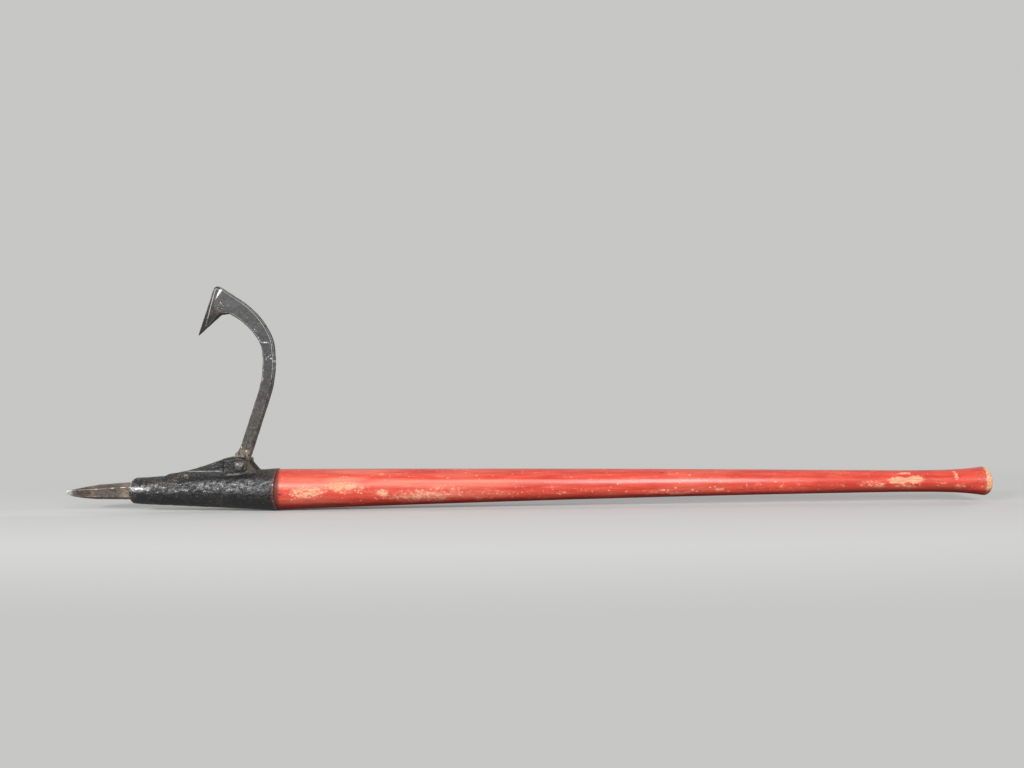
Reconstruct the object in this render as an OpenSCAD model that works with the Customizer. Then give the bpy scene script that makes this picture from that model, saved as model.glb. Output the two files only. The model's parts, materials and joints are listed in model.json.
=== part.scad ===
// Spiked cant hook: a logger's lever with a swinging hook.
// X runs along the tool, with the pike at the low end and the knob at the high end.
// Z is up, towards the hook. Y is across, and the bolt head faces -Y.
// The origin is under the middle of the tool, level with its lowest line.

/* [Handle] */
// Length of the handle outside the socket
handle_len = 1017; // [600:1:1500]
// Diameter of the handle where it leaves the socket
swell_d = 58; // [54:0.5:59]
// Smallest diameter of the handle, in front of the knob
grip_d = 31; // [26:0.5:36]
// Distance from the end of the handle back to its thinnest place
grip_back = 124; // [80:1:160]
// How far the long taper bows inwards, where 1 is straight
taper_bow = 1.12; // [1:0.01:1.4]
// Largest diameter of the knob at the end of the handle
knob_d = 41; // [38:0.5:48]
// How late the knob flares out, where 1 is a straight cone
flare_power = 3.8; // [2:0.1:6]
// Depth of the rounding on the knob's end
knob_round = 6; // [3:0.5:10]
// Diameter of the flat at the very end of the knob
butt_flat_d = 26; // [20:0.5:28]
// Diameter of the tenon at the mouth of the socket
tenon_d = 51; // [49:0.5:52]
// Diameter of the tenon at its inner end
tenon_end_d = 27; // [25.5:0.5:29]

/* [Socket] */
// Length of the socket from its nose face to its mouth
socket_len = 210; // [180:1:260]
// Outer diameter at the mouth
mouth_d = 61; // [60:0.5:66]
// Outer diameter of the cone at the nose
nose_d = 37.5; // [36:0.5:44]
// Rounding of the nose's edge
nose_round = 4; // [2:0.5:7]
// Depth of the bevel on the mouth's edge
mouth_bevel = 1.5; // [0.5:0.5:3]
// Thickness of the wall across the nose
nose_wall = 12; // [9:0.5:16]

/* [Ears and ridge] */
// Distance from the mouth back to the hook's bolt
pivot_back = 54.5; // [48:0.5:70]
// Height of the bolt above the middle of the tool
pivot_rise = 35.5; // [35:0.5:42]
// Height of the ears above the bolt
ear_rise = 12; // [10.5:0.5:14]
// Width of the slot between the ears
slot_w = 13.7; // [13.2:0.1:15]
// Thickness of each ear beside the slot
ear_wall = 5; // [4:0.5:6]
// Height that the pad round the bolt stands proud of its ear
pad_proud = 3; // [2:0.5:3.5]
// Radius of the pad behind the bolt
pad_r = 11.5; // [10.5:0.5:12]
// Distance from the bolt to the straight front edge of the pad
pad_front = 21; // [18:0.5:26]
// Length of the ears' level top behind the bolt
ear_back = 8; // [5:0.5:12]
// Slant of the ears' rear edges above level, in degrees
ear_slant = 50; // [40:1:65]
// Reach of the slot in front of the bolt
slot_front = 38; // [32:1:44]
// Length of the ridge from its low front end to the bolt
ridge_len = 112; // [100:1:125]
// Width of the ridge at its front end
ridge_w = 15; // [10:0.5:20]
// Height of the ridge's front end above the socket
ridge_step = 2.6; // [1:0.1:5]
// How late the ridge climbs to the ears, where 1 is a straight ramp
ridge_power = 1.4; // [1:0.05:2]

/* [Pike] */
// Length of the pike outside the socket
pike_len = 98; // [70:1:140]
// Width of the pike at the socket's nose
pike_root_w = 24; // [22:0.5:26]
// Width of the pike where its point begins
pike_point_w = 20.5; // [18:0.5:22]
// Length of the forged point
point_len = 47; // [30:1:60]
// How blunt the point swells, where 1 is a straight pyramid
point_power = 0.55; // [0.4:0.01:1]
// Depth of the flats on the pike's edges
pike_chamfer = 5; // [3:0.5:6]
// Width of the square tang where it enters the nose
tang_w = 16; // [12:0.5:17]
// Width of the tang at its inner end
tang_end_w = 7; // [5:0.5:10]
// Length of the tang inside the socket
tang_len = 110; // [80:1:140]

/* [Hook] */
// Width of the hook's bar, in the plane that it swings in
bar_w = 17.5; // [16.5:0.5:19]
// Thickness of the hook's bar
bar_t = 12.7; // [11:0.1:12.9]
// Depth of the flats on the bar's edges
bar_chamfer = 2; // [1:0.5:3]
// Radius of the hook's eye
eye_r = 10; // [9:0.5:10.5]
// Flare of the shoulder in front of the eye
shoulder_flare = 4.5; // [0:0.5:5]
// Height of the shoulder above the bolt
shoulder_at = 11; // [9:0.5:14]
// Length over which the shoulder narrows to the bar
shoulder_run = 17; // [10:1:24]
// Lean of the hook's shank towards the handle, in degrees
shank_lean = 18.5; // [10:0.5:25]
// Length of the straight shank from the bolt
shank_len = 105; // [80:1:130]
// Radius of the first, long bend
long_bend_r = 155; // [100:5:250]
// Angle of the long bend
long_bend = 25; // [15:1:35]
// Radius of the tight bend
tight_bend_r = 50; // [40:1:80]
// Angle of the tight bend
tight_bend = 21; // [10:1:30]
// Radius of the last bend, under the top of the hook
top_bend_r = 108; // [80:1:160]
// Angle of the last bend
top_bend = 32; // [20:1:36]
// Depth of the bar where it meets the bill
neck_w = 29; // [22:0.5:30]
// Length of the neck from the last bend to the knee
neck_len = 34; // [30:1:40]
// Radius of the knee at the top of the bill
knee_r = 6.5; // [6:0.5:9]
// Turn of the bill from the line of the neck, in degrees
bill_turn = 96.5; // [90:0.5:110]
// Length of the bill from the knee to its tip
bill_len = 69.5; // [60:0.5:85]
// Distance along the bill from the knee to its root
root_along = 28; // [24:0.5:34]
// Depth of the root behind the line of the bill
root_deep = 14.5; // [12:0.5:20]
// Radius at the bill's root
root_r = 4; // [3:0.5:6]
// Width of the flat along the front edge of the bill
bill_bevel = 4.5; // [2:0.5:5.5]
// Depth of that flat at the knee
bill_cut = 3.5; // [1:0.5:4.5]
// Thickness of the metal at the bill's tip
tip_t = 2; // [1:0.5:4]

/* [Bolt and nail] */
// Diameter of the hook's bolt
bolt_d = 11; // [9:0.5:12]
// Diameter of the bolt's domed head
head_d = 17.5; // [16:0.5:20]
// Height of the bolt's domed head
head_h = 4.5; // [3:0.5:6]
// Length of the square neck under the head
square_len = 6; // [3:0.5:6]
// Width of the square nut across its flats
nut_w = 18; // [16:0.5:20]
// Height of the nut
nut_h = 8.5; // [7:0.5:9.5]
// Outer diameter of the lock washer
washer_d = 18; // [16:0.5:20]
// Thickness of the lock washer
washer_t = 2.5; // [2:0.1:3]
// Gap in the lock washer's ring
washer_split = 2; // [1:0.5:3]
// Length of bolt that stands out beyond the nut
bolt_over = 1.5; // [1:0.5:2]
// Distance from the mouth back to the handle nail
nail_back = 45; // [30:1:70]
// Diameter of the nail
nail_d = 4; // [3:0.5:5]
// Diameter of the nail's head
nail_head_d = 8; // [7:0.5:10]
// Length of the nail under its head
nail_len = 20; // [14:1:20]

/* [Hidden] */

// Clearance of driven and seated pieces, of the hook on its bolt, and of the eye in its pocket
seat_gap = 0.15;
run_gap = 0.08;
swing_gap = 0.6;

// Places worked out from the sizes, with the tool's middle line at axis_z
round_fn = 96;
hull_fn = 32;
axis_z = socket_r(mouth_bevel);
mouth_x = (pike_len + socket_len - handle_len) / 2;
nose_x = mouth_x - socket_len;
pivot_x = mouth_x - pivot_back;
tenon_len = socket_len - nose_wall;
ear_half = slot_w / 2 + ear_wall;
pad_half = ear_half + pad_proud;
ear_top = pivot_rise + ear_rise;

// Radius of the socket's outside at a distance back from the mouth
function socket_r(back) = (mouth_d - (mouth_d - nose_d) * back / socket_len) / 2;
// Height of the socket's outside above the tool's middle line, at a distance to one side
function socket_top(back, side) = sqrt(pow(socket_r(back), 2) - side * side);
// Part of the way from one value to another
function mix(a, b, t) = a + (b - a) * t;

// A closed skin over rings that all have the same number of points
module loft(rings) {
    n = len(rings[0]);
    last = (len(rings) - 1) * n;
    polyhedron(
        points = [for (ring = rings) each ring],
        faces = concat(
            [[for (j = [0 : n - 1]) j]],
            [[for (j = [n - 1 : -1 : 0]) last + j]],
            [for (i = [0 : len(rings) - 2], j = [0 : n - 1])
                let (a = i * n + j, b = i * n + (j + 1) % n)
                each [[a, a + n, b], [b, a + n, b + n]]]
        )
    );
}

// A rectangle with its corners cut, as eight points, from half sizes and the depth of the cuts
function cut_box(u, v, c) =
    [[u, c - v], [u, v - c], [u - c, v], [c - u, v], [-u, v - c], [-u, c - v], [c - u, -v], [u - c, -v]];

// Lays a shape made along Z on the tool's middle line, with its start at the socket's mouth
module along_tool() {
    translate([mouth_x, 0, axis_z]) rotate([0, 90, 0]) children();
}

// Lays a shape made along Z on the hook's bolt, pointing to +Y
module on_bolt() {
    translate([pivot_x, 0, pivot_z()]) rotate([-90, 0, 0]) children();
}
function pivot_z() = axis_z + pivot_rise;

// The tapered solid inside the socket, larger by a gap when it is the socket's bore
module tenon(gap) {
    along_tool() rotate_extrude($fn = round_fn) polygon([
        [0, -tenon_len], [tenon_end_d / 2 + gap, -tenon_len], [tenon_d / 2 + gap, 0], [0, 0]
    ]);
}

// The square tang: straight through the nose wall, then tapered inside the wood
module tang(gap) {
    full = tang_w / 2 + gap;
    small = tang_end_w / 2 + gap;
    inside_pike = 1;
    loft([for (s = [[-inside_pike, full], [nose_wall, full], [tang_len + gap, small]])
        [for (c = [[1, -1], [1, 1], [-1, 1], [-1, -1]])
            [nose_x + s[0], c[0] * s[1], axis_z + c[1] * s[1]]]]);
}

// The nail, pointing from the far side to the middle of the tool, with its head let into the socket
nail_sink = 1;
nail_dome = 1.2;
nail_point = 4;
module at_nail() {
    translate([mouth_x - nail_back, socket_r(nail_back) - nail_sink, axis_z]) rotate([-90, 0, 0]) children();
}
module nail_hole() {
    at_nail() {
        translate([0, 0, -nail_len - 1])
            cylinder(h = nail_len + 1, d = nail_d + 2 * seat_gap, $fn = round_fn);
        cylinder(h = 2 * nail_sink, d = nail_head_d + 2 * seat_gap, $fn = round_fn);
    }
}

// Handle: one turned piece with a tenon inside the socket and a flared knob
taper_steps = 24;
flare_steps = 16;
round_steps = 6;
shoulder_round = 1.5;
grip_at = handle_len - grip_back;
flare_len = grip_back - knob_round;
function taper_r(t) = mix(grip_d, swell_d, pow(1 - t, taper_bow)) / 2;
function flare_r(t) = mix(grip_d, knob_d, pow(t, flare_power)) / 2;

module turned_handle() {
    along_tool() rotate_extrude($fn = round_fn) polygon(concat(
        [[0, 0], [swell_d / 2 - shoulder_round, 0], [taper_r(shoulder_round / grip_at), shoulder_round]],
        [for (i = [1 : taper_steps]) let (t = i / taper_steps) [taper_r(t), t * grip_at]],
        [for (i = [1 : flare_steps]) let (t = i / flare_steps) [flare_r(t), grip_at + t * flare_len]],
        [for (i = [1 : round_steps]) let (a = 90 * i / round_steps)
            [mix(butt_flat_d, knob_d, cos(a)) / 2, handle_len - knob_round * (1 - sin(a))]],
        [[0, handle_len]]
    ));
}

module handle() {
    color("indianred") difference() {
        union() {
            tenon(0);
            turned_handle();
        }
        tang(seat_gap);
        nail_hole();
    }
}

// Socket: a tapered cup with a ridge and two ears cast on its top
module socket_cone() {
    edge_r = socket_r(socket_len - nose_round);
    along_tool() rotate_extrude($fn = round_fn) polygon(concat(
        [[0, -socket_len]],
        [for (i = [0 : round_steps]) let (a = 90 * i / round_steps)
            [edge_r - nose_round * (1 - sin(a)), nose_round * (1 - cos(a)) - socket_len]],
        [[socket_r(mouth_bevel), -mouth_bevel], [socket_r(0) - mouth_bevel, 0], [0, 0]]
    ));
}

// Top line of the ridge and ears, as distance in front of the bolt and height above the middle
climb_steps = 10;
slant_steps = 4;
buried = 1.5;
ridge_toe = 8;
ridge_low = ridge_len - ridge_toe;
ear_front = pad_front + 1;
ear_lip = 1.3;
ear_corner = 5;
slant_len = (ear_top - socket_r(pivot_back - 2 * ear_back) + 2 * buried) / tan(ear_slant);
ridge_line = concat(
    [[ridge_len, socket_r(pivot_back + ridge_len) - buried]],
    [for (i = [0 : climb_steps]) let (t = i / climb_steps) [
        mix(ridge_low, ear_front, t),
        mix(socket_r(pivot_back + ridge_low) + ridge_step, ear_top - ear_lip, pow(t, ridge_power))
    ]],
    [[ear_front - ear_corner, ear_top]],
    [for (i = [0 : slant_steps]) let (run = slant_len * i / slant_steps)
        [-ear_back - run, ear_top - run * tan(ear_slant)]]
);

// Section across the ridge: rounded on top, with a fillet where it meets the cone
ridge_fillet = 4;
ridge_edge = 2.5;
edge_share = 0.45;
edge_bow = 0.3;
fillet_bow = 0.3;
least_rise = 0.6;
foot_sink = 0.4;
section_foot = 8;
function ridge_half(ahead) =
    mix(ridge_w / 2, ear_half, min(1, (ridge_len - ahead) / (ridge_len - ear_front)));
function ridge_side(ahead, top) =
    let (
        back = pivot_back + ahead,
        w = ridge_half(ahead),
        foot = min(socket_top(back, w), top - least_rise),
        f = min(ridge_fillet, edge_share * (top - foot)),
        e = min(ridge_edge, edge_share * (top - foot))
    )
    [
        [w + f, section_foot], [w + f, min(socket_top(back, w + f), foot) - foot_sink],
        [w + fillet_bow * f, foot + fillet_bow * f], [w, foot + f],
        [w, top - e], [w - edge_bow * e, top - edge_bow * e], [w - e, top]
    ];
function ridge_ring(ahead, top) =
    let (side = ridge_side(ahead, top), n = len(side))
    [for (p = concat(side, [for (i = [n - 1 : -1 : 0]) [-side[i][0], side[i][1]]]))
        [pivot_x - ahead, p[0], axis_z + p[1]]];

// The pad round the bolt: round behind, with a straight front edge
pad_shoulder = 7;
module ear_pads() {
    pad_drop = pivot_rise - section_foot * 2;
    translate([pivot_x, pad_half, pivot_z()]) rotate([90, 0, 0]) linear_extrude(2 * pad_half) union() {
        circle(r = pad_r, $fn = round_fn);
        polygon([[-pad_front, -pad_drop], [-pad_front, pad_shoulder], [0, pad_r], [0, -pad_drop]]);
    }
}

module hook_slot() {
    slot_tail = ear_back + slant_len + 2 * buried;
    translate([pivot_x, 0, axis_z]) linear_extrude(2 * ear_top) union() {
        translate([slot_w / 2 - slot_front, 0]) circle(d = slot_w, $fn = round_fn);
        translate([slot_w / 2 - slot_front, -slot_w / 2])
            square([slot_front - slot_w / 2 + slot_tail, slot_w]);
    }
}

module socket() {
    neck_hole = bolt_d + 2 * seat_gap;
    nose_hole = tang_w + 2 * seat_gap;
    color("#343436") difference() {
        union() {
            difference() {
                union() {
                    loft([for (p = ridge_line) ridge_ring(p[0], p[1])]);
                    ear_pads();
                }
                hook_slot();
            }
            socket_cone();
        }
        tenon(seat_gap);
        translate([nose_x - 1, -nose_hole / 2, axis_z - nose_hole / 2])
            cube([nose_wall + 2, nose_hole, nose_hole]);
        nail_hole();
        on_bolt() {
            translate([0, 0, -slot_w / 2]) cylinder(h = slot_w, r = eye_r + swing_gap, $fn = round_fn);
            cylinder(h = 2 * pad_half, d = neck_hole, center = true, $fn = round_fn);
            translate([-neck_hole / 2, -neck_hole / 2, -pad_half - 1])
                cube([neck_hole, neck_hole, square_len + seat_gap + 1]);
        }
    }
}

// Pike: a forged square bar with cut edges, drawn to a four sided point
// Its rings hold a distance from the tip, half a width and the depth of the flats
point_steps = 8;
tip_crowding = 1.5;
tip_half = 0.8;
tip_flat = 0.3;
module pike() {
    rings = concat(
        [for (i = [0 : point_steps]) let (t = pow(i / point_steps, tip_crowding)) [
            t * point_len,
            mix(tip_half, pike_point_w / 2, pow(t, point_power)),
            mix(tip_flat, pike_chamfer, t)
        ]],
        [[pike_len, pike_root_w / 2, pike_chamfer]]
    );
    color("#8a7668") union() {
        loft([for (r = rings) [for (p = cut_box(r[1], r[1], r[2]))
            [nose_x - pike_len + r[0], p[0], axis_z + p[1]]]]);
        tang(0);
    }
}

// Hook: the bar follows a line of straight runs and bends, given by a place and a heading
// A heading is measured from straight up, positive towards the handle
function towards(h) = [sin(h), cos(h)];
function ahead_of(h) = [-cos(h), sin(h)];
function bent(p, h, r, a) = p + r * (ahead_of(h) - ahead_of(h - a));

h1 = shank_lean;
h2 = h1 - long_bend;
h3 = h2 - tight_bend;
h4 = h3 - top_bend;
p1 = shank_len * towards(h1);
p2 = bent(p1, h1, long_bend_r, long_bend);
p3 = bent(p2, h2, tight_bend_r, tight_bend);
p4 = bent(p3, h3, top_bend_r, top_bend);
knee = p4 + neck_len * towards(h4) - (neck_w / 2 - knee_r) * ahead_of(h4);
h5 = h4 - bill_turn;
root = knee + root_along * towards(h5) + root_deep * ahead_of(h5);
tip = knee + bill_len * towards(h5);

// A ring of the bar, from its place, its heading and its depths in front of and behind that place
function bar_ring(p, h, front, rear) =
    [for (q = cut_box((front + rear) / 2, bar_t / 2, bar_chamfer))
        let (at = p + (q[0] + (front - rear) / 2) * ahead_of(h))
        [pivot_x + at[0], -q[1], pivot_z() + at[1]]];

// The lower shank, as distances from the bolt and depths in front of the shank's line:
// the eye, then the shoulder, then the plain bar
eye_inset = 0.5;
shoulder_half = 2;
shank_rings = [
    [0, eye_r - eye_inset],
    [shoulder_at - shoulder_half, bar_w / 2 + shoulder_flare],
    [shoulder_at + shoulder_half, bar_w / 2 + shoulder_flare],
    [shoulder_at + shoulder_run / 2, bar_w / 2 + shoulder_flare / 4],
    [shoulder_at + shoulder_run, bar_w / 2]
];

// From the tight bend to the knee the bar grows steadily deeper
bend_steps = 7;
tight_run = tight_bend_r * tight_bend * PI / 180;
top_run = top_bend_r * top_bend * PI / 180;
function grown(run) = mix(bar_w, neck_w, run / (tight_run + top_run + neck_len)) / 2;
function neck_ring(back) =
    let (w = grown(tight_run + top_run + neck_len - back))
    bar_ring(p4 + (neck_len - back) * towards(h4), h4, w, w);

module hook_bar() {
    loft(concat(
        [for (s = shank_rings) bar_ring(s[0] * towards(h1), h1, s[1], bar_w / 2)],
        [for (i = [0 : bend_steps]) let (a = long_bend * i / bend_steps)
            bar_ring(bent(p1, h1, long_bend_r, a), h1 - a, bar_w / 2, bar_w / 2)],
        [for (i = [1 : bend_steps]) let (t = i / bend_steps, w = grown(t * tight_run))
            bar_ring(bent(p2, h2, tight_bend_r, t * tight_bend), h2 - t * tight_bend, w, w)],
        [for (i = [1 : bend_steps]) let (t = i / bend_steps, w = grown(tight_run + t * top_run))
            bar_ring(bent(p3, h3, top_bend_r, t * top_bend), h3 - t * top_bend, w, w)],
        [neck_ring(knee_r)]
    ));
}

// A disc with bevelled edges, at a place in the hook's plane, from its radius and thickness
// and the width and depth of the bevel
module puck(at, r, t, bevel, depth) {
    translate([pivot_x + at[0], 0, pivot_z() + at[1]]) rotate([90, 0, 0]) {
        cylinder(h = t - 2 * depth, r = r, center = true, $fn = hull_fn);
        cylinder(h = t, r = r - bevel, center = true, $fn = hull_fn);
    }
}

// The bill's root runs out on the neck, a little short of the last bend
root_short = 3.5;
root_run = neck_len - root_short;

module hook() {
    color("#4a4a4c") difference() {
        union() {
            hook_bar();
            hull() {
                puck(knee, knee_r, bar_t, bill_bevel, bill_cut);
                puck(root, root_r, bar_t, bar_chamfer, bar_chamfer);
                puck(tip, tip_t / 2, tip_t, tip_t / 4, tip_t / 4);
                loft([for (back = [2 * knee_r, knee_r]) neck_ring(back)]);
            }
            hull() {
                puck(root, root_r, bar_t, bar_chamfer, bar_chamfer);
                loft([for (back = [root_run, knee_r]) neck_ring(back)]);
            }
            on_bolt() cylinder(h = bar_t, r = eye_r, center = true, $fn = round_fn);
        }
        on_bolt() cylinder(h = 2 * bar_t, d = bolt_d + 2 * run_gap, center = true, $fn = round_fn);
    }
}

// Bolt: a domed head, a square neck that keeps it from turning, and a round shank
dome_steps = 8;
bolt_bevel = 0.8;
module hook_bolt() {
    shank = 2 * pad_half + washer_t + nut_h + bolt_over;
    dome_r = (pow(head_d / 2, 2) + pow(head_h, 2)) / (2 * head_h);
    dome_a = asin(head_d / 2 / dome_r);
    color("#3a3a3c") on_bolt() translate([0, 0, -pad_half]) union() {
        rotate_extrude($fn = round_fn) polygon(concat(
            [for (i = [0 : dome_steps]) let (a = dome_a * i / dome_steps)
                [dome_r * sin(a), dome_r - head_h - dome_r * cos(a)]],
            [[bolt_d / 2, 0], [bolt_d / 2, shank - bolt_bevel], [bolt_d / 2 - bolt_bevel, shank], [0, shank]]
        ));
        translate([-bolt_d / 2, -bolt_d / 2, 0]) cube([bolt_d, bolt_d, square_len]);
    }
}

// Split washer under the nut
module lock_washer() {
    color("#5a5a5c") on_bolt() translate([0, 0, pad_half]) difference() {
        cylinder(h = washer_t, d = washer_d, $fn = round_fn);
        translate([0, 0, -1]) cylinder(h = washer_t + 2, d = bolt_d + 2 * seat_gap, $fn = round_fn);
        translate([0, -washer_split / 2, -1]) cube([washer_d, washer_split, washer_t + 2]);
    }
}

// Square nut with its outer corners turned off
nut_bevel = 2;
module bolt_nut() {
    corner_r = nut_w / sqrt(2);
    color("#3a3a3c") on_bolt() translate([0, 0, pad_half + washer_t]) difference() {
        intersection() {
            translate([-nut_w / 2, -nut_w / 2, 0]) cube([nut_w, nut_w, nut_h]);
            rotate_extrude($fn = round_fn) polygon([
                [0, 0], [corner_r, 0], [corner_r, nut_h - nut_bevel],
                [corner_r - 2 * nut_bevel, nut_h], [0, nut_h]
            ]);
        }
        translate([0, 0, -1]) cylinder(h = nut_h + 2, d = bolt_d + 2 * run_gap, $fn = round_fn);
    }
}

// Nail with a low domed head and a pointed end
module handle_nail() {
    color("#5a5a5c") at_nail() rotate_extrude($fn = round_fn) polygon([
        [0, -nail_len], [nail_d / 2, nail_point - nail_len], [nail_d / 2, 0], [nail_head_d / 2, 0],
        [nail_head_d / 2, nail_sink], [nail_head_d / 4, nail_sink + nail_dome], [0, nail_sink + nail_dome]
    ]);
}

handle();
socket();
pike();
hook();
hook_bolt();
bolt_nut();
lock_washer();
handle_nail();
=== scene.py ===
"""Dresses the spiked cant hook: red turned handle, rough black socket, forged hook and pike."""
import json
import math

import bmesh
import bpy
from mathutils import Matrix, Vector


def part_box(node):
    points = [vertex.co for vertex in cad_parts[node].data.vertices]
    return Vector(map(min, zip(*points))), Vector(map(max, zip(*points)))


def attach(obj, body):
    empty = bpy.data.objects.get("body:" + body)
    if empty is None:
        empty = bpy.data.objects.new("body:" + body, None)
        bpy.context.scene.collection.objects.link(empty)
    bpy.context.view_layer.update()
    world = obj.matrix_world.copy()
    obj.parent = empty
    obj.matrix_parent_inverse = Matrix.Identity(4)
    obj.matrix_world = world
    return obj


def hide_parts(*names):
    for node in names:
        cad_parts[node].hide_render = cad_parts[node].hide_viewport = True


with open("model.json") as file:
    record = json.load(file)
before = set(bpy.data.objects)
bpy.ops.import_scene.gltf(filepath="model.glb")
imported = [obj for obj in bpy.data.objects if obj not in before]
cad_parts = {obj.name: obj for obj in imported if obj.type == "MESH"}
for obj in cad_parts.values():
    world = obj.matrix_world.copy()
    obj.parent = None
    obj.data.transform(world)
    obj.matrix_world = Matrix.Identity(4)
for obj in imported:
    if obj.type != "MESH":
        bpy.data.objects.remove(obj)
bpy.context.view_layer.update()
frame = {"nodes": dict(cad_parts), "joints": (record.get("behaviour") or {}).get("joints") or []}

# Places taken from the frame, in metres, with X along the tool and Z up towards the hook
MM = 0.001
NOSE_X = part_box("socket")[0].x
MOUTH_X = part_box("socket")[1].x
AXIS_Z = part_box("socket")[1].y
BUTT_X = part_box("handle")[1].x
TIP_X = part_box("pike")[0].x
PIVOT = Vector(frame["joints"][0]["pos_m"])


# Nodes for shaders and for geometry

class Value:
    """A node's output that Python's operators work on."""

    def __init__(self, tree, socket):
        self.tree = tree
        self.socket = socket

    def __add__(self, other):
        return self.tree.maths("ADD", self, other)

    def __sub__(self, other):
        return self.tree.maths("SUBTRACT", self, other)

    def __rsub__(self, other):
        return self.tree.maths("SUBTRACT", other, self)

    def __mul__(self, other):
        return self.tree.maths("MULTIPLY", self, other)

    def __truediv__(self, other):
        return self.tree.maths("DIVIDE", self, other)

    def __pow__(self, other):
        return self.tree.maths("POWER", self, other)

    def __abs__(self):
        return self.tree.maths("ABSOLUTE", self)

    __radd__ = __add__
    __rmul__ = __mul__

    def ramp(self, low, high):
        """0 below low and 1 above high, in a straight line between."""
        return self.tree.node("ShaderNodeMapRange", {}, {0: self, 1: low, 2: high})

    def step(self, low, high):
        """0 below low and 1 above high, with a soft change between."""
        soft = {"interpolation_type": "SMOOTHSTEP"}
        return self.tree.node("ShaderNodeMapRange", soft, {0: self, 1: low, 2: high})


class Tree:
    """Adds nodes to the tree of a material or of a Geometry Nodes modifier."""

    def __init__(self, nodes):
        self.nodes = nodes

    def node(self, kind, settings=None, sockets=None, out=0):
        made = self.nodes.nodes.new(kind)
        for name, setting in (settings or {}).items():
            setattr(made, name, setting)
        for name, value in (sockets or {}).items():
            self.feed(made.inputs[name], value)
        return Value(self, made.outputs[out]) if made.outputs else made

    def feed(self, socket, value):
        if isinstance(value, Value):
            self.nodes.links.new(value.socket, socket)
        elif socket.type == "RGBA":
            socket.default_value = (*value, 1.0)
        else:
            socket.default_value = value

    def maths(self, operation, a, b=0.0):
        return self.node("ShaderNodeMath", {"operation": operation}, {0: a, 1: b})

    def larger(self, largest, *others):
        for other in others:
            largest = self.maths("MAXIMUM", largest, other)
        return largest

    def smaller(self, a, b):
        return self.maths("MINIMUM", a, b)

    def vector(self, operation, a, b, out=0):
        return self.node("ShaderNodeVectorMath", {"operation": operation}, {0: a, 1: b}, out)

    def length(self, vector):
        return self.node("ShaderNodeVectorMath", {"operation": "LENGTH"}, {0: vector}, "Value")

    def joined(self, x, y, z):
        return self.node("ShaderNodeCombineXYZ", {}, {0: x, 1: y, 2: z})

    def parts(self, vector):
        split = self.node("ShaderNodeSeparateXYZ", {}, {0: vector}).socket.node
        return [Value(self, output) for output in split.outputs]

    def mix(self, share, a, b):
        """A colour that goes from a to b as share goes from 0 to 1."""
        return self.node("ShaderNodeMix", {"data_type": "RGBA"}, {0: share, 6: a, 7: b}, 2)

    def noise(self, place, size, detail=3.0, rough=0.55, twist=0.0):
        """Clouds from 0 to 1 with blots of about a size in metres."""
        return self.node("ShaderNodeTexNoise", {}, {
            "Vector": place, "Scale": 1 / size, "Detail": detail, "Roughness": rough, "Distortion": twist,
        })

    def cells(self, place, size):
        """Distance from the nearest of many scattered points, in units of their spacing."""
        return self.node("ShaderNodeTexVoronoi", {}, {"Vector": place, "Scale": 1 / size, "Randomness": 1.0})


def uneven_dots(tree, place, size, wander):
    """Distance from scattered points, in units of their spacing, on a place that noise has shaken."""
    shaken = tree.node("ShaderNodeTexNoise", {}, {
        "Vector": place, "Scale": 1 / (size * 1.2), "Detail": 2.0, "Roughness": 0.6,
    }, "Color")
    moved = tree.vector("ADD", place, tree.vector("MULTIPLY", shaken, (wander, wander, wander)))
    return tree.cells(moved, size)


def stretched(tree, place, times):
    """A place drawn in along the tool, so that what is laid on it grows longer that way."""
    return tree.vector("MULTIPLY", place, (1 / times, 1.0, 1.0))


# Materials

def new_material(name):
    material = bpy.data.materials.new(name)
    material.use_nodes = True
    material.node_tree.nodes.clear()
    return material, Tree(material.node_tree)


def surface(tree, height, relief, sockets):
    """Ends a material: a bump of a height from 0 to 1 that stands for a relief in metres."""
    bump = tree.node("ShaderNodeBump", {}, {"Strength": 1.0, "Distance": relief, "Height": height})
    shader = tree.node("ShaderNodeBsdfPrincipled", {}, {"Normal": bump, **sockets})
    tree.node("ShaderNodeOutputMaterial", {}, {"Surface": shader})


def object_place(tree):
    return tree.node("ShaderNodeTexCoord", out="Object")


def edge_of(tree):
    """How far the skin stands out from the shape round it, in millimetres: high on edges, low in corners."""
    return tree.node("ShaderNodeAttribute", {"attribute_name": "edge"}, out="Fac")


PAINT_RED = (0.70, 0.070, 0.041)
PAINT_DEEP = (0.55, 0.041, 0.023)
# Colour of the painted shade on the handle's lower side
PAINT_SHADE_DARK = (0.24, 0.014, 0.008)
PAINT_SCUFFED = (0.86, 0.24, 0.155)
WOOD_PALE = (0.92, 0.50, 0.31)
WOOD_BROWN = (0.72, 0.29, 0.145)
WOOD_DIRTY = (0.40, 0.175, 0.090)
NICK_DARK = (0.13, 0.018, 0.012)
PAINT_FADED_AND_HIGHLIGHT = (0.90, 0.33, 0.22)
FLECK_PINK = (0.92, 0.38, 0.26)
GRIP_LOWER_BROWN = (0.25, 0.040, 0.020)
MOUTH_DIRT_AND_SHADE = (0.085, 0.036, 0.028)

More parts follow.
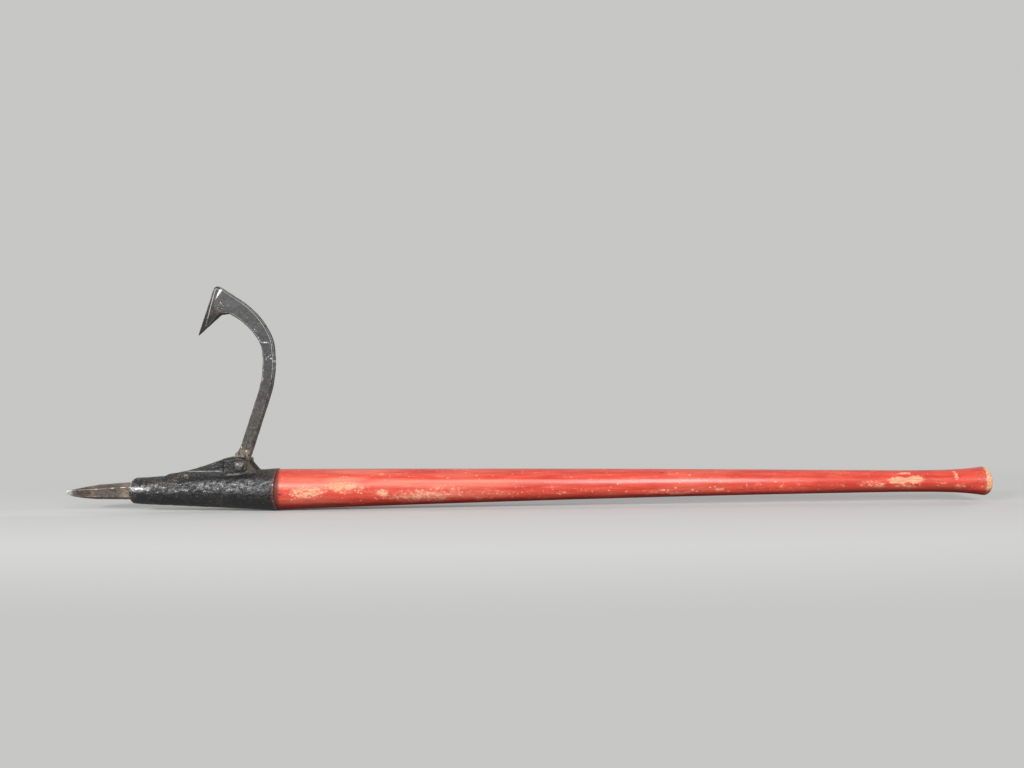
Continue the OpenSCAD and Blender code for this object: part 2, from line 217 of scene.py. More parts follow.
# Where the paint is worn through: distance from the socket and angle round the handle from its top
# towards the bolt's head, each with its half size, in millimetres and degrees, and how bare it is
WEAR = [
    (45, 92, 42, 27, 1.00),
    (96, 79, 42, 25, 1.03),
    (152, 98, 13, 16, 1.30),
    (150, 38, 7, 9, 0.85),
    (207, 114, 70, 44, 0.80),
    (235, 100, 66, 34, 0.64),
    (300, 112, 90, 38, 0.50),
    (410, 104, 60, 30, 0.30),
    (547, 106, 7, 8, 1.10),
    (572, 126, 24, 15, 0.95),
    (560, 112, 52, 26, 0.46),
    (628, 107, 10, 9, 1.10),
    (700, 100, 66, 30, 0.40),
    (846, 97, 36, 34, 0.66),
    (884, 75, 22, 29, 1.32),
    (907, 71, 17, 33, 1.32),
    (895, 36, 13, 13, 1.15),
    (893, 110, 34, 24, 0.80),
    (966, 50, 5, 42, 0.95),
    (948, 93, 12, 12, 0.70),
    (968, 110, 16, 22, 0.70),
    (70, -80, 46, 26, 0.90),
    (168, -112, 44, 28, 0.80),
    (410, -70, 66, 30, 0.50),
    (860, -95, 54, 34, 1.00),
    (935, -60, 28, 22, 0.66),
    (250, 10, 70, 18, 0.36),
    (720, -150, 90, 26, 0.45),
]
# Where the paint is only fading, and where it has dark nicks, in the same terms. The thin long line at 64
# degrees and the places near it lie along the highlight's row and are partly painted highlight
FADED_AND_HIGHLIGHT = [
    (40, 66, 62, 26, 0.62), (96, 61, 46, 17, 1.0), (160, 66, 60, 14, 0.7), (255, 64, 190, 7, 1.0),
    (250, 78, 120, 16, 0.5), (120, 20, 60, 20, 0.4), (45, 126, 60, 24, 0.5), (250, 108, 110, 20, 0.45),
]
NICKS = [(9, 98, 6, 5, 1.0), (548, 34, 5, 4, 1.0), (330, 128, 4, 3, 1.0), (480, -60, 5, 4, 1.0)]


def round_places(tree, distance, angle, places):
    """Each place's share, strong in its middle and gone at its half sizes, taken together."""
    patches = []
    for middle, turned, half_length, half_angle, share in places:
        lengthwise = (distance - middle * MM) / (half_length * MM)
        crosswise = (angle - math.radians(turned)) / math.radians(half_angle)
        reach = tree.maths("SQRT", lengthwise * lengthwise + crosswise * crosswise)
        patches.append((1.0 - reach.step(0.25, 1.15)) * share)
    return tree.larger(*patches)


def handle_paint():
    material, tree = new_material("worn_red_paint")
    place = object_place(tree)
    x, y, z = tree.parts(place)
    from_mouth = x - MOUTH_X
    to_butt = BUTT_X - x
    around = tree.maths("ARCTAN2", y * -1.0, z - AXIS_Z)
    beside = abs(around)

    fibre = tree.noise(stretched(tree, place, 14.0), 1.8 * MM, 4, 0.6)
    streak = tree.noise(stretched(tree, place, 11.0), 5 * MM, 4, 0.6)
    cloud = tree.noise(stretched(tree, place, 5.0), 26 * MM, 3, 0.5)
    flake = tree.noise(stretched(tree, place, 1.9), 8 * MM, 4, 0.6, 0.3)
    crumb = tree.noise(stretched(tree, place, 1.3), 3.1 * MM, 4, 0.62)

    # Bare wood: crumbs of it in the worn places, a line at the socket, and the rim of the knob, which is
    # worn widest at its sides and less at its top and bottom
    worn_here = round_places(tree, from_mouth, around, WEAR)
    from_rim = to_butt + (1.0 - tree.maths("SINE", beside)) * 4.5 * MM
    rim = (1.0 - (from_rim + (crumb - 0.5) * 9 * MM).step(8.5 * MM, 12 * MM)) * 2.2
    shoulder = (1.0 - from_mouth.step(0.8 * MM, 3.0 * MM)) * 0.5
    worn_here = tree.larger(worn_here, rim, shoulder)
    dots = uneven_dots(tree, stretched(tree, place, 1.4), 3.7 * MM, 3.0 * MM)
    loose = (flake - 0.5) * 1.5 + (crumb - 0.5) * 0.7
    spread = (worn_here ** 1.5) * 0.72 + loose
    bare = (spread - dots * (1.12 - worn_here * 0.24) - 0.04).step(-0.04, 0.04)
    thin = spread.step(0.10, 0.55)

    scuff = (streak * 0.6 + crumb * 0.4).step(0.54, 0.68)
    red = tree.mix(streak.step(0.34, 0.60), PAINT_DEEP, PAINT_RED)
    fresh = 1.0 - to_butt.step(45 * MM, 80 * MM)
    red = tree.mix(cloud.step(0.45, 0.72) * (0.30 - fresh * 0.25), red, PAINT_SCUFFED)
    # Paler paint, partly fading and partly painted highlight along the highlight's row
    fading_and_highlight = round_places(tree, from_mouth, around, FADED_AND_HIGHLIGHT) * (0.55 + streak * 0.5)
    red = tree.mix(tree.smaller(scuff * (0.26 - fresh * 0.2) + thin * 0.6, 1.0), red, PAINT_SCUFFED)
    red = tree.mix(tree.smaller(fading_and_highlight * 0.75, 1.0), red, PAINT_FADED_AND_HIGHLIGHT)

    # Small pale flecks, thicker below the middle, and dark nicks
    lower_side = around.step(1.40, 1.75) * (1.0 - around.step(2.30, 2.7))
    speck_place = tree.vector("ADD", stretched(tree, place, 1.5), (0.31, 0.17, 0.05))
    speck = tree.noise(speck_place, 2.6 * MM, 3, 0.6)
    far_dots = uneven_dots(tree, speck_place, 7.0 * MM, 4.0 * MM)
    fleck = 0.06 + lower_side * 0.10 + (cloud - 0.5) * 0.5 + (speck - 0.5) * 0.35 - far_dots
    red = tree.mix(fleck.step(-0.03, 0.03) * 0.8, red, FLECK_PINK)
    line_place = tree.vector("ADD", stretched(tree, place, 10.0), (0.11, 0.07, 0.02))
    line = tree.noise(line_place, 2.4 * MM, 3, 0.6)
    red = tree.mix((line * 0.8 + cloud * 0.2).step(0.60, 0.68) * 0.5, red, PAINT_SCUFFED)
    nick = (round_places(tree, from_mouth, around, NICKS) * 0.6 + crumb * 0.5).step(0.5, 0.72)
    red = tree.mix(nick * 0.8, red, NICK_DARK)

    growth = tree.node("ShaderNodeTexWave", {"wave_type": "RINGS", "rings_direction": "X"}, {
        "Vector": tree.vector("ADD", place, (0.0, 0.012, 0.018 - AXIS_Z)), "Scale": 150.0, "Distortion": 1.6,
        "Detail": 2.0, "Detail Scale": 1.2,
    }, "Fac")
    on_end = 1.0 - to_butt.step(0.2 * MM, 1.2 * MM)
    wood = tree.mix(fibre.step(0.36, 0.62), WOOD_BROWN, WOOD_PALE)
    wood = tree.mix(on_end * (0.25 + growth * 0.6), wood, WOOD_BROWN)
    on_rim = 1.0 - from_rim.step(9 * MM, 13 * MM)
    pinkish = (1.0 - (crumb * 0.5 + speck * 0.5).step(0.42, 0.56)) * 0.6
    pinkish = tree.smaller(pinkish + (1.0 - worn_here.step(0.65, 1.05)) * 0.85, 1.0) * (1.0 - on_rim * 0.8)
    wood = tree.mix(pinkish, wood, FLECK_PINK)
    grime = (1.0 - speck.step(0.40, 0.50)) * (0.40 - on_end * 0.28 + on_rim * (1.0 - on_end) * 0.22)
    wood = tree.mix(grime, wood, WOOD_DIRTY)
    # Painted shade darkens the rounded edge next to the end, and the end grain is a little dirty
    shaded_turned_edge = (1.0 - to_butt.step(0.8 * MM, 3.4 * MM)) * (1.0 - on_end)
    wood = tree.mix(shaded_turned_edge * 0.6 + on_end * 0.2, wood, WOOD_DIRTY)

    # The lower side is darkened as painted shade, and a dark strip lies against the socket, partly dirt and
    # partly painted shade
    colour = tree.mix(bare, red, wood)
    rim_edge = from_rim.step(9.5 * MM, 11.5 * MM) * (1.0 - from_rim.step(12 * MM, 16 * MM))
    colour = tree.mix(rim_edge * (0.1 + crumb * 0.4), colour, WOOD_DIRTY)
    # Near the knob the lower side turns a darker brown
    gripped = (1.0 - to_butt.step(190 * MM, 330 * MM)) * to_butt.step(16 * MM, 50 * MM)
    colour = tree.mix(gripped * beside.step(1.50, 2.15) * (0.45 + streak * 0.4), colour, GRIP_LOWER_BROWN)
    # Painted shade: the lower side is darkened towards the bottom, and loses its gloss there
    painted_underside_shade = beside.step(1.85, 2.45) * (1.0 - on_end)
    colour = tree.mix(painted_underside_shade * (0.68 + (1.0 - streak.step(0.35, 0.6)) * 0.3), colour, PAINT_SHADE_DARK)
    # A dark strip against the socket, partly dirt and partly painted shade in the joint, reaching furthest
    # along the sides
    mouth_strip_reach = tree.maths("SINE", beside) * 6.3 * MM + (crumb - 0.5) * 4 * MM
    at_mouth = 1.0 - (from_mouth - mouth_strip_reach).step(-3.0 * MM, 2.6 * MM)
    colour = tree.mix(at_mouth * 0.9, colour, MOUTH_DIRT_AND_SHADE)

    rough = 0.33 + scuff * 0.12 + tree.larger(bare, painted_underside_shade, at_mouth * 0.9) * 0.36 + streak * 0.06
    height = fibre * 0.16 * (0.3 + bare) + crumb * 0.16 + (1.0 - bare) * 0.5 - nick * 0.4
    dulled = tree.smaller(fading_and_highlight * 0.7 + gripped * 0.5 + at_mouth, 0.9)
    surface(tree, height, 0.35 * MM, {
        "Base Color": colour, "Roughness": rough, "Specular IOR Level": 0.2,
        "Coat Weight": (1.0 - bare) * (1.0 - painted_underside_shade) * (1.0 - dulled) * 0.8,
        "Coat Roughness": 0.27,
    })
    return material


IRON_BLACK = (0.008, 0.008, 0.009)
IRON_GREY = (0.040, 0.040, 0.041)
IRON_SHEEN_HIGHLIGHT = (0.20, 0.20, 0.205)
IRON_BRIGHT = (0.46, 0.45, 0.44)
RUST_DARK = (0.040, 0.026, 0.018)
RUST_BROWN = (0.100, 0.070, 0.050)
RUST_TAN = (0.40, 0.31, 0.215)
HEEL_EARTH = (0.062, 0.052, 0.042)
MOSS_BROWN = (0.050, 0.046, 0.028)
SMEARED_RED = (0.26, 0.070, 0.052)
IRON_WARM = (0.27, 0.235, 0.195)


def near(tree, place, centre, half):
    """1 at a place, fading to 0 at its half sizes, all in metres."""
    offset = tree.vector("SUBTRACT", place, centre)
    scaled = tree.vector("DIVIDE", offset, half)
    return 1.0 - tree.length(scaled).step(0.25, 1.0)


def near_any(tree, place, spots):
    """The strongest of several places near the pivot, given as (x, z, half x, half z) in millimetres."""
    spots_here = []
    for along, up, half_along, half_up in spots:
        centre = (PIVOT.x + along * MM, 0.0, PIVOT.z + up * MM)
        spots_here.append(near(tree, place, centre, (half_along * MM, 1.0, half_up * MM)))
    return tree.larger(*spots_here)


# Places on the socket: from the pivot along it and from the axis across and up, then the half sizes
# the same ways, in millimetres
SOCKET_SPOTS = {
    "toe": (-84, -13, 20, 26, 16, 10),
    "toe_spot": (-77, -13, 22.5, 6, 16, 3),
    "heel_near": (17, -14, 36, 13, 9, 16),
    "heel_far": (20, 10, 38, 18, 14, 17),
    "upper_left": (-108, -16, 12, 44, 14, 9),
    "eye": (8, -15, 36, 8, 6, 11),
    "belly": (-30, -18, -16, 22, 16, 13),
    "behind": (42, -12, 24, 24, 24, 12),
    "pad_front": (-8, -14, 26, 20, 8, 5),
    "pad_back": (20, -14, 24, 12, 8, 5),
}


def near_socket(tree, place, ahead, side, up, half_ahead, half_side, half_up):
    centre = (PIVOT.x + ahead * MM, side * MM, AXIS_Z + up * MM)
    return near(tree, place, centre, (half_ahead * MM, half_side * MM, half_up * MM))


def socket_iron():
    material, tree = new_material("worn_black_iron")
    place = object_place(tree)
    x, y, z = tree.parts(place)
    edge = edge_of(tree)
    grain = tree.noise(place, 1.5 * MM, 3, 0.6)
    lumps = tree.noise(stretched(tree, place, 1.4), 5.0 * MM, 3, 0.6)
    cloud = tree.noise(place, 24 * MM, 4, 0.6)
    chips = tree.noise(stretched(tree, place, 1.6), 3.2 * MM, 4, 0.66, 0.3)

    # Black paint with the iron showing grey through it, and small bright chips, most along the near middle.
    # There, where the highlight falls, a lighter grey and the extra chips are partly worn metal and partly
    # painted highlight
    crest = edge.step(0.05, 0.20)
    beside = abs(tree.maths("ARCTAN2", y, z - AXIS_Z))
    highlight_band = beside.step(0.80, 1.08) * (1.0 - beside.step(1.40, 1.76))
    worn = (chips * 0.6 + lumps * 0.4 + crest * 0.10 + highlight_band * 0.05).step(0.50, 0.66)
    bright = (chips * 0.60 + grain * 0.40 + crest * 0.07 + highlight_band * 0.045 + cloud * 0.08).step(0.640, 0.705)
    colour = tree.mix(worn * 0.7 + cloud.step(0.4, 0.65) * 0.2, IRON_BLACK, IRON_GREY)
    # Painted highlight along the middle of the sides, partly worn metal
    sheen_and_highlight = highlight_band * (chips * 0.35 + lumps * 0.42 + cloud * 0.23).step(0.43, 0.58)
    # Near the nose a thin bright streak at one angle is a painted highlight on smoother, more metallic iron
    highlight_angle = 1.34
    nosing = 1.0 - (x - NOSE_X + lumps * 12 * MM).step(20 * MM, 46 * MM)
    polish_and_highlight = nosing * (1.0 - abs(beside - highlight_angle).step(0.04, 0.24))
    colour = tree.mix(sheen_and_highlight * 0.68, colour, IRON_SHEEN_HIGHLIGHT)
    colour = tree.mix(bright * (0.35 + highlight_band * 0.4), colour, IRON_BRIGHT)
    colour = tree.mix(polish_and_highlight * (0.35 + lumps.step(0.35, 0.65) * 0.35), colour, IRON_BRIGHT)

    # Rust and dirt: the toe of the ridge, the nose, the ears' backs, a patch below, and the hollow behind
    spot = {name: near_socket(tree, place, *where) for name, where in SOCKET_SPOTS.items()}
    toe = spot["toe"]
    toe_spot = spot["toe_spot"] * grain.step(0.44, 0.56)
    nose = 1.0 - (x - NOSE_X).step(2 * MM, 14 * MM)
    heel = tree.larger(spot["heel_near"], spot["heel_far"])
    upper_left = spot["upper_left"]
    eye = spot["eye"]
    behind = spot["behind"]
    rusty = cloud * 0.35 + grain * 0.65 + toe * 0.13 + toe_spot * 0.08 + nose * 0.12 + heel * 0.34
    rusty = (rusty + eye * 0.20 + spot["belly"] * 0.10 + upper_left * 0.12).step(0.58, 0.74) * (1.0 - polish_and_highlight)
    rust = tree.mix(chips.step(0.40, 0.60), RUST_DARK, RUST_BROWN)
    tan = (chips * 0.25 + grain * 0.75 + toe * 0.03 + toe_spot * 0.03).step(0.54, 0.62)
    rust = tree.mix(tan * (0.25 + toe * 0.4 + toe_spot * 0.5), rust, RUST_TAN)
    rust = tree.mix(tree.larger(heel, eye) * 0.7, rust, HEEL_EARTH)
    rust = tree.mix(upper_left * (chips * 0.5 + grain * 0.5).step(0.50, 0.58) * 0.6, rust, IRON_WARM)
    colour = tree.mix(rusty, colour, rust)
    moss = behind * (grain * 0.5 + chips * 0.5).step(0.42, 0.54)
    colour = tree.mix(moss * 0.9, colour, MOSS_BROWN)
    colour = tree.mix(behind * (grain * 0.6 + lumps * 0.4).step(0.56, 0.64) * 0.35, colour, RUST_TAN)

    # Thin painted highlight lines along the foot of the ridge and the lower edge of the pads, broken up
    ridge_foot = 27.9
    above = (z - AXIS_Z) / MM
    ahead = (x - PIVOT.x) / MM
    foot = 1.0 - abs(above - ridge_foot).step(0.30, 1.05)
    foot = foot * ahead.step(-82, -66) * (1.0 - ahead.step(-30, -22))
    foot = foot * abs(y).step(6 * MM, 7 * MM)
    corner = 1.0 - edge.step(-0.19, -0.09)
    pads = tree.larger(spot["pad_front"], spot["pad_back"])
    painted_highlight_line = tree.larger(foot * 0.9, corner * pads * 0.6)
    painted_highlight_line = painted_highlight_line * (chips * 0.5 + lumps * 0.5).step(0.34, 0.54)
    colour = tree.mix(painted_highlight_line * 0.75, colour, IRON_BRIGHT)

    # The handle's paint has been brushed over the mouth's edge
    smear = (MOUTH_X - x + (lumps - 0.5) * 9 * MM + (chips - 0.5) * 5 * MM) / MM
    smear = (1.0 - smear.step(0.4, 5.6)) * (0.35 + grain.step(0.40, 0.6) * 0.5)
    colour = tree.mix(smear * 0.8, colour, SMEARED_RED)

    underside = beside.step(1.75, 2.25)
    rough = 0.20 + rusty * 0.42 + grain * 0.16 + tree.larger(moss, smear, underside * 1.6) * 0.2
    height = (lumps * 0.50 + chips * 0.34 + grain * 0.16 - 0.5) * (1.0 - polish_and_highlight * 0.75) + 0.5
    surface(tree, height, 3.4 * MM, {
        "Base Color": colour, "Roughness": rough, "Specular IOR Level": 0.34,
        "Metallic": tree.larger(tree.larger(bright * 0.5, sheen_and_highlight * 0.75) * (1.0 - rusty), polish_and_highlight * 0.8),
    })
    return material


STEEL_DARK = (0.024, 0.024, 0.026)
STEEL_GREY = (0.048, 0.047, 0.050)
STEEL_WORN = (0.36, 0.35, 0.325)
STEEL_BRIGHT = (0.56, 0.55, 0.54)
STEEL_SOOT = (0.020, 0.017, 0.014)
STEEL_BROWN = (0.046, 0.038, 0.031)
STEEL_EARTH = (0.112, 0.100, 0.084)
FOOT_TAN = (0.25, 0.205, 0.155)
STEEL_PALE = (0.20, 0.185, 0.165)
DRIED_CREAM = (0.66, 0.60, 0.49)

# Places on the hook's faces, from the pivot: x, z and half sizes in millimetres
FACE_SPECKS = [
    (-27, 229, 10, 13), (11, 210, 5, 4.5), (23, 190, 5, 9), (27, 182, 4, 6), (41, 154, 9, 11),
    (33, 124, 6, 6), (10, 60, 5, 8),
]
FOOT_SPOTS = [(1.3, 26, 3.4, 3.2), (-8, 13.5, 3.0, 2.6), (9, 20, 4, 2.4)]
FORGE_LINES = [(37, 175.5, 8.5, 1.3), (29, 177.5, 3.0, 1.6), (49.3, 148.5, 2.4, 2.6), (46, 152.5, 2.5, 1.2)]
BILL_TOP = (-37.0, 253.9)
BILL_LEAN = math.radians(16.4)


def hook_steel():
    material, tree = new_material("forged_hook_steel")
    place = object_place(tree)
    x, _, z = tree.parts(place)
    edge = edge_of(tree)
    grain = tree.noise(place, 1.4 * MM, 3, 0.6)
    scale = tree.noise(place, 3.6 * MM, 4, 0.6, 0.3)
    cloud = tree.noise(place, 20 * MM, 3, 0.55)
    fine = grain * 0.5 + scale * 0.5
    up = (z - PIVOT.z) / MM
    ahead = (x - PIVOT.x) / MM

    # Dark forged steel above, earthy and speckled below
    colour = tree.mix(scale * 0.7 + cloud * 0.3, STEEL_DARK, STEEL_GREY)
    colour = tree.mix((scale * 0.6 + cloud * 0.4).step(0.40, 0.62), colour, STEEL_GREY)
    low = 1.0 - (up + cloud * 60).step(70, 175)
    colour = tree.mix(low * 0.65, colour, STEEL_BROWN)
    colour = tree.mix(low * fine.step(0.44, 0.58) * 0.7, colour, STEEL_EARTH)
    foot = 1.0 - (up + scale * 14).step(22, 40)
    foot_colour = tree.mix(fine.step(0.42, 0.55), RUST_DARK, FOOT_TAN)
    colour = tree.mix(foot * 0.85, colour, foot_colour)
    pits = tree.cells(place, 4.2 * MM).step(0.26, 0.10) * grain.step(0.42, 0.55)
    colour = tree.mix(pits * 0.55, colour, STEEL_SOOT)

    # The bill, measured back from its front and down from the knee, with painted shade on its front facet and
    # a painted highlight along the edge behind it
    front = (ahead - BILL_TOP[0]) * math.cos(BILL_LEAN) - (up - BILL_TOP[1]) * math.sin(BILL_LEAN)
    down = (BILL_TOP[0] - ahead) * math.sin(BILL_LEAN) + (BILL_TOP[1] - up) * math.cos(BILL_LEAN)
    rusty_bill = (down + scale * 16).step(20, 36) * (1.0 - front.step(20, 32))
    bill_rust = tree.mix(grain.step(0.45, 0.6), STEEL_BROWN, RUST_BROWN)
    bill_rust = tree.mix(fine.step(0.42, 0.58), STEEL_SOOT, bill_rust)
    colour = tree.mix(rusty_bill * 0.85, colour, bill_rust)
    sooty_bill = (down + front * 0.45 + scale * 8).step(38, 50) * (1.0 - front.step(24, 34))
    colour = tree.mix(sooty_bill * 0.9, colour, STEEL_SOOT)
    # Painted shade on the bill's front facet
    front_facet_shade = (1.0 - (front + scale * 0.8).step(3.2, 4.2)) * down.step(-1, 6)
    colour = tree.mix(front_facet_shade * 0.75, colour, STEEL_SOOT)
    # A thin painted highlight along the edge behind the front facet, weaker lower down
    crease_at = 4.1
    crease_highlight = (1.0 - abs(front - crease_at).step(0.30, 1.0)) * down.step(-3, 3)
    crease_highlight = crease_highlight * (1.0 - down.step(22, 58) * 0.6)
    crease_highlight = crease_highlight * (scale * 0.5 + grain * 0.3 + (1.0 - down.step(20, 66)) * 0.16).step(0.36, 0.50)

    # Edges partly worn bright and partly carrying painted highlight lines, a painted highlight on the knee,
    # rubbed spots and the mark across the bend
    crest = edge.step(0.070, 0.115) * (scale * 0.45 + cloud * 0.55 + up.step(60, 190) * 0.10).step(0.46, 0.58)
    crest = crest * (1.0 - front_facet_shade) * (0.25 + up.step(50, 120) * 0.75) * (1.0 - rusty_bill * 0.85)
    streaks = tree.noise(tree.joined(front, down * 0.2, 0.0), 1.5, 3, 0.6)
    # A painted highlight on the knee, streaked along the bill
    gleam_at = 11.6
    gleam_side = abs(front - gleam_at + down * 0.22)
    gleam = (1.0 - (gleam_side + down * 0.10).step(0.6, 3.8)) * down.step(-5, -1) * (1.0 - down.step(6, 24))
    gleam = (gleam * 0.55 + streaks * 0.5).step(0.40, 0.82)
    dots = uneven_dots(tree, place, 2.6 * MM, 2.0 * MM)
    specks = (near_any(tree, place, FACE_SPECKS) * 0.28 + (scale - 0.5) * 0.9 - dots).step(-0.05, 0.05)
    pepper = (0.30 + (grain - 0.5) * 0.9 - dots).step(-0.12, 0.12) * (low * 0.8 + 0.2)
    colour = tree.mix(pepper * 0.45, colour, STEEL_PALE)
    spots = (near_any(tree, place, FOOT_SPOTS) * 0.4 + grain * 0.6 - dots * 0.12).step(0.56, 0.68)
    mark = near_any(tree, place, FORGE_LINES) * grain.step(0.34, 0.52)
    colour = tree.mix(crest * 0.85, colour, STEEL_WORN)
    colour = tree.mix(specks * 0.85, colour, STEEL_BRIGHT)
    # Painted highlights on the knee and behind the bill's front facet, together with the bright mark
    highlights_and_mark = tree.larger(gleam, crease_highlight * 0.8, mark * 0.85)
    colour = tree.mix(highlights_and_mark * 0.9, colour, STEEL_BRIGHT)
    colour = tree.mix(spots * 0.9, colour, DRIED_CREAM)

    rough = 0.42 + grain * 0.14 + low * 0.16 - highlights_and_mark * 0.10 + sooty_bill * (1.0 - highlights_and_mark) * 0.25
    height = scale * 0.55 + grain * 0.3 - pits * 0.3
    surface(tree, height, 0.22 * MM, {
        "Base Color": colour, "Roughness": rough, "Metallic": 0.14 - low * 0.10 + highlights_and_mark * 0.25,
        "Specular IOR Level": 0.3,
    })
    return material


PIKE_BROWN = (0.078, 0.061, 0.049)
PIKE_GREY = (0.118, 0.101, 0.086)
PIKE_DARK = (0.030, 0.020, 0.014)
PIKE_RUST = (0.33, 0.21, 0.125)
PIKE_BRIGHT = (0.80, 0.78, 0.73)


def pike_steel():
    material, tree = new_material("forged_pike_steel")
    place = object_place(tree)
    x = tree.parts(place)[0]
    edge = edge_of(tree)
    grain = tree.noise(stretched(tree, place, 2.4), 1.3 * MM, 4, 0.65)
    scale = tree.noise(stretched(tree, place, 1.8), 4.5 * MM, 4, 0.6, 0.3)
    from_tip = (x - TIP_X) / MM
    tip = 1.0 - (from_tip + scale * 10).step(9, 19)
    middle = near(tree, place, (TIP_X + 32 * MM, 0, AXIS_Z), (22 * MM, 1.0, 1.0))
    root = (from_tip + scale * 6).step(80, 96)

    colour = tree.mix(scale.step(0.36, 0.62), PIKE_BROWN, PIKE_GREY)
    point = from_tip.step(14, 22) * (1.0 - (from_tip + scale * 16).step(30, 56))
    pitted = (grain * 0.5 + scale * 0.5 + middle * 0.04 + point * 0.07).step(0.50, 0.60)
    colour = tree.mix(pitted * 0.75, colour, PIKE_DARK)
    colour = tree.mix(middle * (1.0 - pitted) * grain.step(0.42, 0.56) * 0.9, colour, PIKE_RUST)
    colour = tree.mix(root * (0.1 + scale.step(0.4, 0.6) * 0.35), colour, RUST_TAN)
    crest = edge.step(0.09, 0.16)
    crest_worn = crest * (scale * 0.5 + grain * 0.5).step(0.40, 0.56)
    colour = tree.mix(crest * (1.0 - crest_worn) * 0.5, colour, PIKE_DARK)
    colour = tree.mix(crest_worn * 0.8, colour, PIKE_BRIGHT)
    colour = tree.mix(tip * (0.55 + grain.step(0.4, 0.6) * 0.4), colour, PIKE_BRIGHT)

    rough = 0.48 + grain * 0.18 - tip * 0.16 - crest_worn * 0.1
    surface(tree, grain * 0.5 + scale * 0.4 - pitted * 0.2, 0.5 * MM, {
        "Base Color": colour, "Roughness": rough, "Metallic": 0.30 + tip * 0.45 + crest_worn * 0.3,
    })
    return material


def fastener_steel(name, dark, pale):
    material, tree = new_material(name)
    place = object_place(tree)
    edge = edge_of(tree)
    grain = tree.noise(place, 1.0 * MM, 3, 0.6)
    scale = tree.noise(place, 4 * MM, 4, 0.6)
    colour = tree.mix(scale.step(0.38, 0.64), dark, pale)
    chips = tree.noise(place, 2.6 * MM, 3, 0.6)
    worn = (edge.step(0.03, 0.14) * 0.7 + scale * 0.4 + chips * 0.4).step(0.60, 0.95)
    colour = tree.mix(worn * 0.75, colour, STEEL_WORN)
    colour = tree.mix((grain * 0.5 + scale * 0.5).step(0.56, 0.66) * 0.6, colour, RUST_BROWN)
    surface(tree, grain * 0.3 + scale * 0.3 + chips * 0.4, 0.9 * MM, {
        "Base Color": colour, "Roughness": 0.20 + grain * 0.2, "Metallic": 0.6 + worn * 0.3,
    })
    return material


# Geometry Nodes

# Points closer than these are one point: on the turned form's seam, and on a copy of a solid
SEAM_GAP = 0.02 * MM
WELD_GAP = 0.002 * MM


def new_geometry_tree(name, inputs):
    """A tree with named inputs, given as name: (socket type, value or None)."""
    group = bpy.data.node_groups.new(name, "GeometryNodeTree")
    group.interface.new_socket("Geometry", in_out="INPUT", socket_type="NodeSocketGeometry")
    for label, (kind, value) in inputs.items():
        socket = group.interface.new_socket(label, in_out="INPUT", socket_type=kind)
        if value is not None:
            socket.default_value = value
    group.interface.new_socket("Geometry", in_out="OUTPUT", socket_type="NodeSocketGeometry")
    tree = Tree(group)
    entry = group.nodes.new("NodeGroupInput")
    given = {output.name: Value(tree, output) for output in entry.outputs if output.name}
    return group, tree, given


def finish_tree(tree, geometry, material):
    """Ends a geometry tree with a plain mesh in one material."""
    real = tree.node("GeometryNodeRealizeInstances", {}, {"Geometry": geometry})
    painted = tree.node("GeometryNodeSetMaterial", {}, {"Geometry": real, "Material": material})
    tree.node("NodeGroupOutput", {}, {"Geometry": painted})


def weathered_skin():
    """Roughens a closed shape inwards and keeps, for its material, how far each point stands out."""
    group, tree, given = new_geometry_tree("weathered_skin", {
        "Lump Size": ("NodeSocketFloat", 8 * MM),
        "Lump Depth": ("NodeSocketFloat", 0.3 * MM),
        "Grain Size": ("NodeSocketFloat", 2.5 * MM),
        "Grain Depth": ("NodeSocketFloat", 0.1 * MM),
        "Edge Reach": ("NodeSocketInt", 5),
        "Seed": ("NodeSocketFloat", 0.0),
        "Sag": ("NodeSocketFloat", 0.0),
        "Sag Start": ("NodeSocketFloat", 0.0),
        "Sag Length": ("NodeSocketFloat", 1.0),
        "Material": ("NodeSocketMaterial", None),
    })
    place = tree.node("GeometryNodeInputPosition")
    normal = tree.node("GeometryNodeInputNormal")
    settled = tree.node("GeometryNodeBlurAttribute", {"data_type": "FLOAT_VECTOR"}, {
        "Value": place, "Iterations": given["Edge Reach"],
    })
    proud = tree.vector("DOT_PRODUCT", tree.vector("SUBTRACT", place, settled), normal, "Value")
    kept = tree.node("GeometryNodeStoreNamedAttribute", {"data_type": "FLOAT", "domain": "POINT"}, {
        "Geometry": given["Geometry"], "Name": "edge", "Value": proud / MM,
    })
    moved = tree.vector("ADD", place, tree.joined(given["Seed"], 0.0, 0.0))
    dent = 0.0
    for size, depth in (("Lump Size", "Lump Depth"), ("Grain Size", "Grain Depth")):
        clouds = tree.node("ShaderNodeTexNoise", {}, {
            "Vector": moved, "Scale": tree.maths("DIVIDE", 1.0, given[size]), "Detail": 2.0, "Roughness": 0.5,
        })
        dent = clouds.ramp(0.25, 0.75) * given[depth] + dent
    offset = tree.node("ShaderNodeVectorMath", {"operation": "SCALE"}, {0: normal, "Scale": dent * -1.0})
    sagged = ((given["Sag Start"] - tree.parts(place)[0]) / given["Sag Length"]).step(0.0, 1.0)
    offset = tree.vector("SUBTRACT", offset, tree.joined(0.0, 0.0, sagged * given["Sag"]))
    rough = tree.node("GeometryNodeSetPosition", {}, {"Geometry": kept, "Offset": offset})
    finish_tree(tree, rough, given["Material"])
    return group


